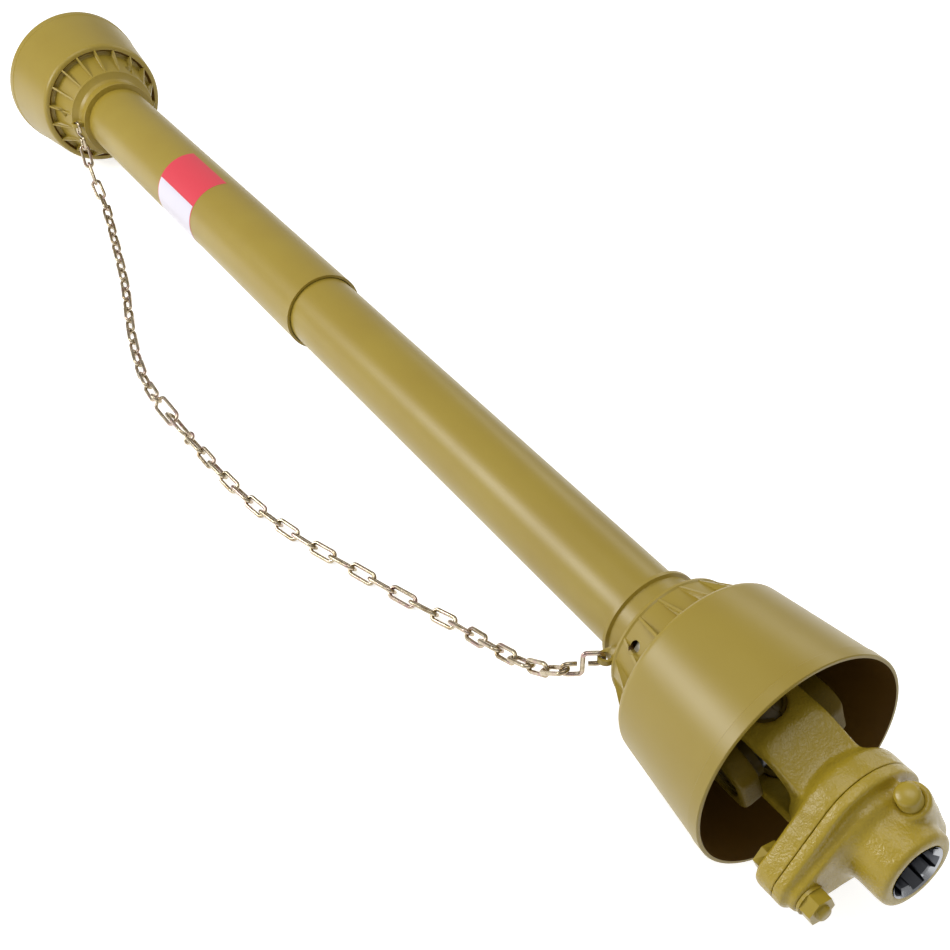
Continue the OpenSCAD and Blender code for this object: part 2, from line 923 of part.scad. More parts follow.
module hub_retaining_ring() {
    color(dark_steel_colour)
        at_implement_cross(1)
            along(spot_at - retaining_t + press_gap)
                difference() {
                    ring(retaining_r, hub_journal_r - retaining_grip + press_gap, retaining_t - 2 * press_gap);
                    translate([0, -3, -1]) cube([retaining_r + 2, 6, retaining_t + 2]);
                }
}

module limiter_caps() {
    at_implement_cross(1) bearing_caps();
}

module limiter_snap_rings() {
    at_implement_cross(1) snap_rings();
}

module shear_bolt() {
    shank = lobe_front + washer_t + nut_t + bolt_tail - flange_at;
    color(yoke_colour)
        at_implement_cross(1)
            at_bolt(flange_at - bolt_head_t) {
                cylinder(d = bolt_af / cos(30), h = bolt_head_t, $fn = 6);
                cylinder(d = bolt_d, h = bolt_head_t + shank - 1);
                translate([0, 0, bolt_head_t + shank - 1])
                    cylinder(d1 = bolt_d, d2 = bolt_d - 2, h = 1);
            }
}

module shear_washer() {
    color(yoke_colour)
        at_implement_cross(1)
            at_bolt(lobe_front)
                ring(washer_r, bolt_d / 2 + 0.2, washer_t);
}

module shear_nut() {
    color(yoke_colour)
        at_implement_cross(1)
            at_bolt(lobe_front + washer_t)
                difference() {
                    cylinder(d = bolt_af / cos(30), h = nut_t, $fn = 6);
                    translate([0, 0, -1]) cylinder(d = bolt_d + 2 * press_gap, h = nut_t + 2);
                }
}

module at_implement_pin() {
    at_implement_cross(1)
        rotate([implement_pin_turn, 0, 0])
            translate([hub_face_x - implement_cross_x - pin_back, 0, 0])
                children();
}

module implement_push_pin() {
    at_implement_pin() push_pin();
}

module implement_pin_spring() {
    at_implement_pin() pin_spring();
}

module implement_pin_plug() {
    at_implement_pin() pin_plug();
}

// Chain route: a smooth curve through the hooks and the points above
tractor_lug = [tractor_collar_x - lug_at, -lug_reach, 0];
implement_lug = [implement_collar_x + lug_at, -lug_reach, 0];
lug_span = implement_lug[0] - tractor_lug[0];

// One hook hangs upright through its lug, the other lies across it and out to one side
hook_way = [cos(hook_turn), sin(hook_turn), 0];
tractor_hook_at = tractor_lug + [2 * hook_r, 0, -hook_arm - hook_drop];
tractor_joint = tractor_hook_at + [hook_r, 0, -hook_arm - hook_inner + link_play / 2];
implement_hook_at = implement_lug - (hook_arm + lug_hole_r + hook_grip) * hook_way - [0, 0, hook_r];
implement_joint = implement_hook_at - (hook_arm + hook_r) * hook_way - [0, 0, hook_r]
    + first_link_at * [cos(first_link_turn), sin(first_link_turn), 0];

route_points = concat(
    [tractor_joint],
    [for (p = route) [tractor_lug[0] + p[0] * lug_span, p[1], floor_z + route_lift + p[2]]],
    [implement_joint]
);
route_last = len(route_points) - 1;

function spline(a, b, c, d, t) =
    0.5 * ((2 * b) + (c - a) * t + (2 * a - 5 * b + 4 * c - d) * t * t
    + (3 * b - a - 3 * c + d) * t * t * t);

curve = concat(
    [
        for (i = [0 : route_last - 1])
            for (k = [0 : route_steps - 1])
                spline(
                    route_points[max(i - 1, 0)],
                    route_points[i],
                    route_points[i + 1],
                    route_points[min(i + 2, route_last)],
                    k / route_steps
                )
    ],
    [route_points[route_last]]
);

run = [
    for (i = 0, s = 0; i < len(curve); i = i + 1, s = s + (i < len(curve) ? norm(curve[i] - curve[i - 1]) : 0))
        s
];
route_len = run[len(run) - 1];

function segment(s, low, high) =
    high - low <= 1 ? low
    : let (m = floor((low + high) / 2)) run[m] <= s ? segment(s, m, high) : segment(s, low, m);
function on_route(s) =
    let (
        i = segment(min(max(s, 0), route_len - 0.001), 0, len(run) - 1),
        t = (s - run[i]) / (run[i + 1] - run[i])
    )
        curve[i] + t * (curve[i + 1] - curve[i]);

// An odd count, so that the last link stands across the eye of its clip
function odd_count(n) = 2 * round((n - 1) / 2) + 1;

clip_mid = clip_share * route_len;
tractor_chain_len = clip_mid - clip_step;
implement_chain_len = route_len - clip_mid - clip_step;
tractor_links = odd_count(tractor_chain_len / (link_pitch - link_play));
implement_links = odd_count(implement_chain_len / (link_pitch - link_play));

// Turns X onto the line from one point to another, with a roll about it
module between(a, b, roll) {
    u = (b - a) / norm(b - a);
    translate((a + b) / 2)
        rotate([roll, -asin(u[2]), atan2(u[1], u[0])])
            children();
}

module half_loop(r, wire) {
    rotate_extrude(angle = 180, $fn = 32)
        translate([r, 0])
            circle(r = wire, $fn = 24);
}

module wire_bar(length, wire) {
    rotate([0, 90, 0]) cylinder(r = wire, h = length, center = true, $fn = 24);
}

// Oval of wire in the XY plane, with its inner length along X
module oval(inner, r, wire) {
    straight = round((inner - 2 * (r - wire)) * 50) / 50;
    for (side = [-1, 1])
        translate([0, side * r, 0]) wire_bar(straight, wire);
    translate([straight / 2, 0, 0]) rotate([0, 0, -90]) half_loop(r, wire);
    translate([-straight / 2, 0, 0]) rotate([0, 0, 90]) half_loop(r, wire);
}

function link_roll(i) = 90 * i + 45 * min(1, i / twist_links);

module tractor_chain() {
    step = tractor_chain_len / tractor_links;
    color(zinc_colour)
        for (i = [0 : tractor_links - 1])
            between(on_route(i * step), on_route((i + 1) * step), link_roll(i))
                oval(step + link_play, link_r, wire_r);
}

module implement_chain() {
    step = implement_chain_len / implement_links;
    color(zinc_colour)
        for (i = [0 : implement_links - 1])
            between(
                on_route(route_len - i * step),
                on_route(route_len - (i + 1) * step),
                link_roll(i)
            )
                oval(step + link_play, link_r, wire_r);
}

// Part of a round wire ring about Z, from the X axis on
module wire_bend(r, turn) {
    rotate_extrude(angle = turn, $fn = 32)
        translate([r, 0])
            circle(r = wire_r, $fn = 24);
}

// Wire S in the XY plane, both of its loops nearly closed
module s_hook() {
    color(zinc_colour) {
        rotate([0, 0, 90]) wire_bar(2 * (2 * hook_r - hook_bend), wire_r);
        for (turn = [0, 180])
            rotate([0, 0, turn]) {
                translate([hook_bend, 2 * hook_r - hook_bend, 0]) rotate([0, 0, 90]) wire_bend(hook_bend, 90);
                translate([(hook_arm + hook_bend) / 2, 2 * hook_r, 0]) wire_bar(hook_arm - hook_bend, wire_r);
                translate([hook_arm, hook_r, 0]) rotate([0, 0, -90]) wire_bend(hook_r, 180);
                translate([(hook_arm + hook_end) / 2, 0, 0]) wire_bar(hook_arm - hook_end, wire_r);
            }
    }
}

module tractor_s_hook() {
    translate(tractor_hook_at) rotate([90, -90, 0]) s_hook();
}

module implement_s_hook() {
    translate(implement_hook_at) rotate([90, 0, hook_turn]) s_hook();
}

// Wire clip: an oval with its sprung end laid across it, and an eye at the -X end
module clip(from, to, roll) {
    eye_x = -(norm(to - from) / 2 - (eye_r - wire_r - link_play / 2));
    oval_x = eye_x + eye_r + clip_r + clip_len / 2;
    color(zinc_colour)
        between(from, to, roll) {
            translate([oval_x, 0, 0]) oval(clip_len + 2 * (clip_r - wire_r), clip_r, wire_r);
            translate([eye_x, 0, 0])
                rotate([90, 0, 0])
                    rotate_extrude($fn = 32)
                        translate([eye_r, 0])
                            circle(r = wire_r, $fn = 24);
        }
}

module tractor_clip() {
    clip(on_route(clip_mid - clip_step), on_route(clip_mid + clip_step), 45);
}

module implement_clip() {
    clip(on_route(clip_mid + clip_step), on_route(clip_mid - clip_step), 45);
}

tractor_bell();
outer_guard_tube();
tractor_bearing_ring();
implement_bell();
inner_guard_tube();
implement_bearing_ring();
quick_release_yoke();
tractor_yoke_caps();
tractor_yoke_snap_rings();
tractor_cross();
tractor_grease_nipple();
tractor_tube_yoke();
tractor_tube_caps();
tractor_tube_snap_rings();
outer_profile_tube();
tractor_spring_pin();
tractor_push_pin();
tractor_pin_spring();
tractor_pin_plug();
implement_tube_yoke();
implement_tube_caps();
implement_tube_snap_rings();
inner_profile_tube();
implement_spring_pin();
implement_cross();
implement_grease_nipple();
limiter_yoke();
limiter_caps();
limiter_snap_rings();
limiter_hub();
hub_retaining_ring();
shear_bolt();
shear_washer();
shear_nut();
implement_push_pin();
implement_pin_spring();
implement_pin_plug();
tractor_s_hook();
tractor_chain();
tractor_clip();
implement_s_hook();
implement_chain();
implement_clip();
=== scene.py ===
# %% [markdown]
# # A guarded drive shaft, dressed around its CAD frame
# The CAD model already has the bells, tubes, yokes and chain at their real sizes. This script loads it,
# gives each piece the surface of the real material, adds what CAD leaves out, and sets camera and light.

# %% Load the frame
import json
import math

import bmesh
import bpy
from mathutils import Matrix, Vector, noise


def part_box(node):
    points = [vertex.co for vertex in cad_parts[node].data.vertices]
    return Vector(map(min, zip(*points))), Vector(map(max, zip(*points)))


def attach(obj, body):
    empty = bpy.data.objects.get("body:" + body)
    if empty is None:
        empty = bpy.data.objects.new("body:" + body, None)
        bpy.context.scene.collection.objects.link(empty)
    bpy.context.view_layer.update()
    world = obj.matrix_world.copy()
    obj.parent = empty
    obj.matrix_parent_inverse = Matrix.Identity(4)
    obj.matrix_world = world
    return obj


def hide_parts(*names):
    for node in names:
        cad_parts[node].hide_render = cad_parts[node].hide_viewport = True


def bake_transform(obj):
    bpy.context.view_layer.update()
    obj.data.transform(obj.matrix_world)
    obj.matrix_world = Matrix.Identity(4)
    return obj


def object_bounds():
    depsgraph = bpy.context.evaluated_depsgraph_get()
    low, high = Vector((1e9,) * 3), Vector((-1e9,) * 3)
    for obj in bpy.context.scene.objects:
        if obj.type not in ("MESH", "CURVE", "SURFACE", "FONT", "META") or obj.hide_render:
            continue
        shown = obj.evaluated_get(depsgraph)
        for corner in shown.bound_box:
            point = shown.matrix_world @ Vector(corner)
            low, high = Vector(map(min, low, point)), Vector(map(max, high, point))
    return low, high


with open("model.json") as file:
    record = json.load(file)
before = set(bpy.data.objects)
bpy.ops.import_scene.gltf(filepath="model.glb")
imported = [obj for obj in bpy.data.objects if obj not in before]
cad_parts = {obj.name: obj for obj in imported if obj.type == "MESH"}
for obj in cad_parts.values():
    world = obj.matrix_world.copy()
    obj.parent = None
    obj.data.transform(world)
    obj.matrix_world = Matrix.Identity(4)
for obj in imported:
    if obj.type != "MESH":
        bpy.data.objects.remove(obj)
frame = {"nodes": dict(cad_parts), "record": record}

MM = 0.001
cad_low, cad_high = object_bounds()
BODY_OF = {
    node: body
    for body, members in frame["record"]["behaviour"]["bodies"].items()
    for node in members
}
JOINTS = {row["name"]: row for row in frame["record"]["behaviour"]["joints"]}
print("CAD box", [round(v / MM) for v in cad_high - cad_low], "mm")

# %% [markdown]
# The camera looks down at the limiter end from the chain's side, as the photograph does. Its place, its
# direction and its lens come from a fit to the mouths and collars of the bells, the tubes and the bore.

# %% Camera
IMAGE_PX = 950
FOCAL_PX = 1389
SENSOR_MM = 36
CAMERA_AT = Vector((1687.2, -457.5, 636.6)) * MM
LOOK = Vector((-0.67083, 0.42407, -0.60826)).normalized()

camera_data = bpy.data.cameras.new("camera")
camera_data.sensor_width = SENSOR_MM
camera_data.lens = FOCAL_PX / IMAGE_PX * SENSOR_MM
camera = bpy.data.objects.new("camera", camera_data)
bpy.context.scene.collection.objects.link(camera)
right = LOOK.cross(Vector((0, 0, 1))).normalized()
up = right.cross(LOOK)
camera.matrix_world = Matrix.Translation(CAMERA_AT) @ Matrix((right, up, -LOOK)).transposed().to_4x4()
bpy.context.scene.camera = camera
print("lens", round(camera_data.lens, 1), "mm")

# %% [markdown]
# A product photograph like this one is lit by large soft boxes over a white sweep. Small lamps would put
# hard spots on the satin guard, and a plain sky would leave it flat. The long box on the chain's side
# draws the pale band along the tubes, a weaker one behind rims the far edges, and one hangs above.

# %% Soft boxes
MIDDLE = Vector((0.75, 0, 0))
NEAR_HALF = Vector((1.15, 0, 0))


def area_light(name, place, width, height, watts, target=MIDDLE):
    lamp = bpy.data.lights.new(name, "AREA")
    lamp.shape = "RECTANGLE"
    lamp.size = width
    lamp.size_y = height
    lamp.energy = watts
    box = bpy.data.objects.new(name, lamp)
    bpy.context.scene.collection.objects.link(box)
    aim = (target - Vector(place)).normalized()
    box.matrix_world = Matrix.Translation(Vector(place)) @ aim.to_track_quat("-Z", "Y").to_matrix().to_4x4()
    print(name, "gives", watts, "W")


area_light("chain_side_box", (0.12, -1.3, 0.72), 1.0, 0.44, 16, NEAR_HALF)
area_light("back_box", (0.4, 1.6, 1.1), 2.2, 0.5, 9)
area_light("top_box", (0.9, -0.4, 2.0), 1.6, 1.0, 14)

# %% [markdown]
# A material is a tree of nodes. One helper adds any node with its settings and links, and one turns the
# hex colours of a paint chart into the linear values that a shader works in.

# %% Nodes and colours
WHITE = (1, 1, 1, 1)


def add(tree, kind, values=None, links=None, **settings):
    """Adds a node, sets its properties and socket values, and links other nodes' outputs to its sockets."""
    made = tree.nodes.new(kind)
    for key, value in settings.items():
        setattr(made, key, value)
    for key, value in (values or {}).items():
        made.inputs[key].default_value = value
    for key, (source, output) in (links or {}).items():
        tree.links.new(source.outputs[output], made.inputs[key])
    return made


def linear(hex_colour):
    """Turns an sRGB hex colour into the linear RGBA that a shader socket takes."""
    srgb = [int(hex_colour[i:i + 2], 16) / 255 for i in (1, 3, 5)]
    return tuple(c / 12.92 if c <= 0.04045 else ((c + 0.055) / 1.055) ** 2.4 for c in srgb) + (1.0,)


def empty_material(name):
    made = bpy.data.materials.new(name)
    made.use_nodes = True
    made.node_tree.nodes.clear()
    return made, made.node_tree


print("mid grey is", round(linear("#808080")[0], 3), "in linear light")

# %% [markdown]
# The shaft lies on white paper that runs out of sight. Paper lit to pure white would throw that light
# back onto the paint, so the sheet glows only for the camera and for reflections, and still takes the
# shaft's shadow.

# %% Paper floor
FLOOR_Z = cad_low.z
FLOOR_REACH = 30
PAPER_GLOW = 0.72
PAPER_GREY = (0.8, 0.8, 0.8, 1)


def white_to_the_camera(tree, strength):
    """A strength that only camera, glossy and transmission rays see."""
    path = add(tree, "ShaderNodeLightPath")
    seen = add(
        tree, "ShaderNodeMath",
        links={0: (path, "Is Camera Ray"), 1: (path, "Is Glossy Ray")}, operation="MAXIMUM",
    )
    seen = add(
        tree, "ShaderNodeMath",
        links={0: (seen, 0), 1: (path, "Is Transmission Ray")}, operation="MAXIMUM",
    )
    return add(tree, "ShaderNodeMath", {1: strength}, {0: (seen, 0)}, operation="MULTIPLY")


floor_mesh = bpy.data.meshes.new("floor")
bm = bmesh.new()
lowered = Matrix.Translation((0, 0, FLOOR_Z))
bmesh.ops.create_grid(bm, x_segments=1, y_segments=1, size=FLOOR_REACH, matrix=lowered)
bm.to_mesh(floor_mesh)
bm.free()
floor = bpy.data.objects.new("floor", floor_mesh)
bpy.context.scene.collection.objects.link(floor)
paper, tree = empty_material("matt white paper")
strength = white_to_the_camera(tree, PAPER_GLOW)
glow = add(tree, "ShaderNodeEmission", {"Color": WHITE}, {"Strength": (strength, 0)})
sheet = add(tree, "ShaderNodeBsdfDiffuse", {"Color": PAPER_GREY})
both = add(tree, "ShaderNodeAddShader", links={0: (glow, 0), 1: (sheet, 0)})
add(tree, "ShaderNodeOutputMaterial", links={"Surface": (both, 0)})
floor_mesh.materials.append(paper)
print("floor at", round(FLOOR_Z / MM), "mm")

# %% [markdown]
# The room round the shaft is white too. It shows white in the picture, and lights the paint at a lower
# level, which fills the shadows without greying them.

# %% World
FILL = 0.4
world = bpy.data.worlds.new("studio")
bpy.context.scene.world = world
world.use_nodes = True
world.node_tree.nodes.clear()
tree = world.node_tree
path = add(tree, "ShaderNodeLightPath")
level = add(tree, "ShaderNodeMapRange", {"To Min": FILL, "To Max": 1.0}, {"Value": (path, "Is Camera Ray")})
sky = add(tree, "ShaderNodeBackground", {"Color": WHITE}, {"Strength": (level, 0)})
add(tree, "ShaderNodeOutputWorld", links={"Surface": (sky, 0)})
bpy.context.scene.view_settings.view_transform = "Standard"
print("the world fills at", FILL)

# %% [markdown]
# The guard is moulded polyethylene, coloured all through. The mould leaves a satin skin: broad soft
# highlights, slow changes of tone, and a faint orange peel that only shows where a highlight ends.
# A painted map would need flat patterns of each bell. Noise on object coordinates needs none, and keeps
# its real size in millimetres. The inner wall is the same plastic, painted darker and browner as painted
# shade.

# %% Moulded polyethylene
PEEL_MM = 0.9
PEEL_DEPTH = 0.1 * MM
MOTTLE_MM = 60


def per_metre(millimetres):
    """A noise scale whose features are about this wide."""
    return 1000 / millimetres


def moulded_polyethylene(name, base, shade):
    made, tree = empty_material(name)
    place = add(tree, "ShaderNodeTexCoord")
    cloud = add(
        tree, "ShaderNodeTexNoise", {"Scale": per_metre(MOTTLE_MM), "Detail": 3.0},
        {"Vector": (place, "Object")},
    )
    tone = add(
        tree, "ShaderNodeMix", {6: linear(base), 7: linear(shade)}, {0: (cloud, "Fac")},
        data_type="RGBA",
    )
    peel = add(
        tree, "ShaderNodeTexNoise", {"Scale": per_metre(PEEL_MM), "Detail": 2.0},
        {"Vector": (place, "Object")},
    )
    bump = add(
        tree, "ShaderNodeBump", {"Strength": 0.12, "Distance": PEEL_DEPTH},
        {"Height": (peel, "Fac")},
    )
    gloss = add(tree, "ShaderNodeMapRange", {"To Min": 0.34, "To Max": 0.42}, {"Value": (cloud, "Fac")})
    skin = add(
        tree, "ShaderNodeBsdfPrincipled", {"IOR": 1.5},
        {"Base Color": (tone, 2), "Roughness": (gloss, 0), "Normal": (bump, 0)},
    )
    add(tree, "ShaderNodeOutputMaterial", links={"Surface": (skin, 0)})
    return made


guard_plastic = moulded_polyethylene("moulded polyethylene", "#A08B33", "#967F2A")
# The inner wall's darker, browner colours are painted shade.
guard_painted_shade = moulded_polyethylene("moulded polyethylene, inner wall in painted shade", "#6B4C16", "#5E4212")
print("made", guard_plastic.name, "and", guard_painted_shade.name)

# %% [markdown]
# The yokes and the hub are cast and then painted. Sand leaves pits and low lumps a few millimetres
# wide, thick paint rounds them, and the enamel's gloss makes each one glint. Real sand is finer than
# SAND_MM, which is as coarse as the grain has to be to show. Forged ears inside the bells are duller,
# and their enamel is painted darker as painted shade. Turned parts are smooth, and the caps and rings
# are painted darker still, which is painted shade too.

# %% Painted castings
TONE_MM = 28.0
LUMP_MM = 7.0
LUMP_DEPTH = 1.2 * MM
SAND_MM = 1.5
SAND_DEPTH = 0.5 * MM


def painted_casting(name, base, shade, roughness, lumps, shine=0.5):
    made, tree = empty_material(name)
    place = add(tree, "ShaderNodeTexCoord")
    slow = add(
        tree, "ShaderNodeTexNoise", {"Scale": per_metre(TONE_MM), "Detail": 4.0},
        {"Vector": (place, "Object")},
    )
    tone = add(
        tree, "ShaderNodeMix", {6: linear(base), 7: linear(shade)}, {0: (slow, "Fac")},
        data_type="RGBA",
    )
    lump = add(
        tree, "ShaderNodeTexNoise", {"Scale": per_metre(LUMP_MM), "Detail": 2.0},
        {"Vector": (place, "Object")},
    )
    sand = add(
        tree, "ShaderNodeTexNoise", {"Scale": per_metre(SAND_MM), "Detail": 3.0},
        {"Vector": (place, "Object")},
    )
    low = add(
        tree, "ShaderNodeBump", {"Strength": lumps, "Distance": LUMP_DEPTH},
        {"Height": (lump, "Fac")},
    )
    fine = add(
        tree, "ShaderNodeBump", {"Strength": 2 * lumps, "Distance": SAND_DEPTH},
        {"Height": (sand, "Fac"), "Normal": (low, 0)},
    )
    enamel = add(
        tree, "ShaderNodeBsdfPrincipled", {"Roughness": roughness, "IOR": 1.5, "Specular IOR Level": shine},
        {"Base Color": (tone, 2), "Normal": (fine, 0)},
    )
    add(tree, "ShaderNodeOutputMaterial", links={"Surface": (enamel, 0)})
    return made


cast_enamel = painted_casting("enamel on cast iron", "#B49B2E", "#A48C27", 0.26, 0.4)
# The forged ears lie in the bells' shade, so their enamel is painted darker: painted shade.
forged_enamel_painted_shade = painted_casting("enamel on forged steel in painted shade", "#7A6618", "#6A5713", 0.5, 0.3, 0.15)
turned_enamel = painted_casting("enamel on turned steel", "#AE972F", "#A08929", 0.3, 0.04)
# The caps and rings take this darker enamel: painted shade.
cap_enamel_painted_shade = painted_casting("enamel on bearing steel in painted shade", "#6E5C22", "#5C4C1C", 0.38, 0.08)
for made in (cast_enamel, forged_enamel_painted_shade, turned_enamel, cap_enamel_painted_shade):
    print("made", made.name)

# %% [markdown]
# Bare steel shows in the splined bores and on the hidden crosses and tubes. Oil and grease dull it in
# smears, so its roughness drifts. Inside a bore the steel is painted dark, partly for its oil and
# mostly as painted shade; the chamfer at its mouth keeps the bright machined steel.

# %% Bare steel
SMEAR_MM = 5.0


def plain_steel(name, colour, roughness):
    made, tree = empty_material(name)
    place = add(tree, "ShaderNodeTexCoord")
    smear = add(
        tree, "ShaderNodeTexNoise", {"Scale": per_metre(SMEAR_MM), "Detail": 4.0},
        {"Vector": (place, "Object")},
    )
    rough = add(
        tree, "ShaderNodeMapRange", {"To Min": roughness - 0.06, "To Max": roughness + 0.08},
        {"Value": (smear, "Fac")},
    )
    steel = add(
        tree, "ShaderNodeBsdfPrincipled", {"Base Color": linear(colour), "Metallic": 1.0},
        {"Roughness": (rough, 0)},
    )
    add(tree, "ShaderNodeOutputMaterial", links={"Surface": (steel, 0)})
    return made


bright_steel = plain_steel("machined steel", "#A9ABAE", 0.26)
# The bore's dark colour is partly oil and mostly painted shade.
oiled_steel_painted_shade = plain_steel("broached and oiled steel with painted shade", "#56585C", 0.3)
# Drawn steel is greased; on the crosses its dark colour is painted shade.
drawn_steel_and_shade = plain_steel("greased drawn steel, painted shade on the crosses", "#6E6F72", 0.4)
print("made", bright_steel.name + ",", oiled_steel_painted_shade.name, "and", drawn_steel_and_shade.name)

# %% [markdown]
# The chain and its hooks are zinc plated with a yellow passivate. Its film is thinner than a wavelength
# of light, so it drifts between straw, pale and pink from one patch to the next. A colour ramp on a noise
# gives that drift, and the metal below gives the glints. The bearing rings are plain moulded nylon.

# %% Zinc and nylon
PASSIVATE_MM = 9.0


def yellow_passivate(name):
    made, tree = empty_material(name)
    place = add(tree, "ShaderNodeTexCoord")
    drift = add(
        tree, "ShaderNodeTexNoise", {"Scale": per_metre(PASSIVATE_MM), "Detail": 2.0},
        {"Vector": (place, "Object")},
    )
    tints = add(tree, "ShaderNodeValToRGB", links={"Fac": (drift, "Fac")})
    ramp = tints.color_ramp
    ramp.elements[0].position = 0.32
    ramp.elements[0].color = linear("#968468")
    ramp.elements[1].position = 0.7
    ramp.elements[1].color = linear("#AC908A")
    ramp.elements.new(0.5).color = linear("#BDB198")
    zinc = add(
        tree, "ShaderNodeBsdfPrincipled", {"Metallic": 1.0, "Roughness": 0.25},
        {"Base Color": (tints, "Color")},
    )
    add(tree, "ShaderNodeOutputMaterial", links={"Surface": (zinc, 0)})
    return made


zinc_plate = yellow_passivate("zinc with yellow passivate")
nylon = moulded_polyethylene("moulded nylon", "#D9D3C0", "#CFC8B2")
print("made", zinc_plate.name, "and", nylon.name)

# %% [markdown]
# Each CAD node gets its finish from the record, whose slots say what a node is made of. Painting them
# one by one would work too, but a table can't miss one. Two kinds differ from their slot: the caps and
# rings were sprayed over with the yokes and take an enamel painted darker as painted shade, and the
# crosses take a darker steel, which is painted shade too.

# %% Finishes on the CAD nodes
FINISH = {
    "guard_plastic": guard_plastic,
    "nylon": nylon,
    "painted_casting": cast_enamel,
    "painted_forging": forged_enamel_painted_shade,
    "painted_steel": turned_enamel,
    "drawn_tube": drawn_steel_and_shade,
    "bright_steel": bright_steel,
    "yellow_zinc": zinc_plate,
}
SLOT_OF = {row["node"]: row["material_slot"] for row in frame["record"]["subparts"]}
for name, node in frame["nodes"].items():
    node.data.materials.clear()
    node.data.materials.append(FINISH[SLOT_OF[name]])
OVERSPRAYED_AND_SHADED = (
    "limiter_caps", "limiter_snap_rings", "implement_tube_caps", "implement_tube_snap_rings",
    "tractor_yoke_caps", "tractor_yoke_snap_rings", "tractor_tube_caps", "tractor_tube_snap_rings",
)
# The caps and rings are painted darker than the yokes: painted shade over their overspray.
for name in OVERSPRAYED_AND_SHADED:
    frame["nodes"][name].data.materials[0] = cap_enamel_painted_shade
# The crosses take the darker drawn steel: painted shade that keeps glints off them.
for name in ("tractor_cross", "implement_cross"):
    frame["nodes"][name].data.materials[0] = drawn_steel_and_shade
print("finished", len(frame["nodes"]), "nodes,", len(OVERSPRAYED_AND_SHADED), "of them oversprayed")

# %% [markdown]
# A CAD node arrives as loose triangles, so each facet catches the light by itself. A copy with its
# doubles merged can be shaded smooth and still keep its true edges: only where two faces meet at
# more than a set angle does the edge stay sharp. The copy then stands for the node.

# %% Smooth copies
MERGE = 0.00002
EDGE_ANGLE = math.radians(32)


def merged_copy(node):
    """A bmesh of a CAD node with its doubles merged."""
    bm = bmesh.new()
    bm.from_mesh(frame["nodes"][node].data)
    bmesh.ops.remove_doubles(bm, verts=bm.verts, dist=MERGE)
    return bm


def piece_from(bm, name, material, edge_angle=EDGE_ANGLE):
    """Puts a bmesh into the scene at the origin, shaded smooth up to its sharp edges."""
    mesh = bpy.data.meshes.new(name)
    bm.to_mesh(mesh)
    bm.free()
    mesh.polygons.foreach_set("use_smooth", [True] * len(mesh.polygons))
    mesh.set_sharp_from_angle(angle=edge_angle)
    mesh.materials.append(material)
    made = bpy.data.objects.new(name, mesh)
    bpy.context.scene.collection.objects.link(made)
    return made


def stand_in(made, node):
    """Lets a piece ride with a node's body and stand for it."""
    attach(made, BODY_OF[node])
    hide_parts(node)


def smooth_copy(node, name):
    stand_in(piece_from(merged_copy(node), name, frame["nodes"][node].data.materials[0]), node)


SMOOTH = [
    "limiter_caps", "limiter_snap_rings",
    "tractor_yoke_caps", "tractor_tube_caps", "implement_tube_caps", "tractor_cross", "implement_cross",
    "tractor_push_pin", "implement_push_pin", "shear_bolt", "shear_washer", "shear_nut",
    "tractor_s_hook", "implement_s_hook",
]
for node in SMOOTH:
    smooth_copy(node, node + "_skin")
print("smoothed", len(SMOOTH), "nodes")

# %% [markdown]
# Each bell is moulded, and all its round walls are cones about the shaft's axis. The triangles of the
# solid run unevenly round its holes and ribs, and normals averaged over them would comb the highlight.
# So the bell is shaded from its profile: every corner takes the direction of its own cone, and only
# small steps between two cones are softened. Near the lip fewer of them are, so that the collar keeps
# its crisp edges. The inner wall is a second, darker material, which is painted shade.

# %% Bells
TURNED = 0.998
SAME_CONE = math.radians(2)
NECK = 20 * MM
NECK_STEP = math.radians(16)
SOFT_STEP = math.radians(35)
FACING_IN = -0.2
LIP_X = {"tractor_bell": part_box("tractor_bell")[1].x, "implement_bell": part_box("implement_bell")[0].x}


def outwards(point):
    """The direction away from the shaft's axis at a point."""
    return Vector((0, point.y, point.z)).normalized()


def cone_direction(face):
    """A face's normal in the plane through the axis, as (along, away), or None if it isn't turned."""
    along, away = face.normal.x, face.normal.dot(outwards(face.center))
    if along ** 2 + away ** 2 < TURNED:
        return None
    return Vector((along, math.copysign(math.sqrt(max(0.0, 1 - along ** 2)), away)))


def turned_normals(mesh, lip_x):
    """Shades a turned surface as true cones, which are soft only across small steps of the profile."""
    directions = [cone_direction(face) for face in mesh.polygons]
    met = [[] for _ in mesh.vertices]
    for face, direction in zip(mesh.polygons, directions):
        for index in face.vertices if direction else ():
            if all(direction.angle(other) > SAME_CONE for other in met[index]):
                met[index].append(direction)
    corners = [Vector()] * len(mesh.loops)
    for face, direction in zip(mesh.polygons, directions):
        for loop in face.loop_indices if direction else ():
            index = mesh.loops[loop].vertex_index
            point = mesh.vertices[index].co
            step = NECK_STEP if abs(point.x - lip_x) < NECK else SOFT_STEP
            mean = sum((d for d in met[index] if d.angle(direction) < step), Vector((0, 0)))
            away = outwards(point)
            corners[loop] = Vector((mean.x, mean.y * away.y, mean.y * away.z)).normalized()
    mesh.normals_split_custom_set(corners)


def bell_copy(node, name):
    """A bell's copy whose inner wall, in a second and darker material, is painted shade."""
    bm = merged_copy(node)
    bm.normal_update()
    # Faces that look in towards the axis get the painted shade of the inner wall.
    for face in bm.faces:
        if face.normal.dot(outwards(face.calc_center_median())) < FACING_IN:
            face.material_index = 1
    made = piece_from(bm, name, guard_plastic)
    made.data.materials.append(guard_painted_shade)
    turned_normals(made.data, LIP_X[node])
    stand_in(made, node)
    return len(made.data.polygons)


for node in LIP_X:
    print(node, "is shaded as cones over", bell_copy(node, node + "_skin"), "faces")

# %% [markdown]
# The guard tubes are extruded, so they are plain and truly round. The solid's flats would show as
# stripes in the long highlight, and a smooth copy would still have them in its outline. Each tube is
# spun afresh instead, in finer steps.

# %% Guard tubes
LATHE_STEPS = 256


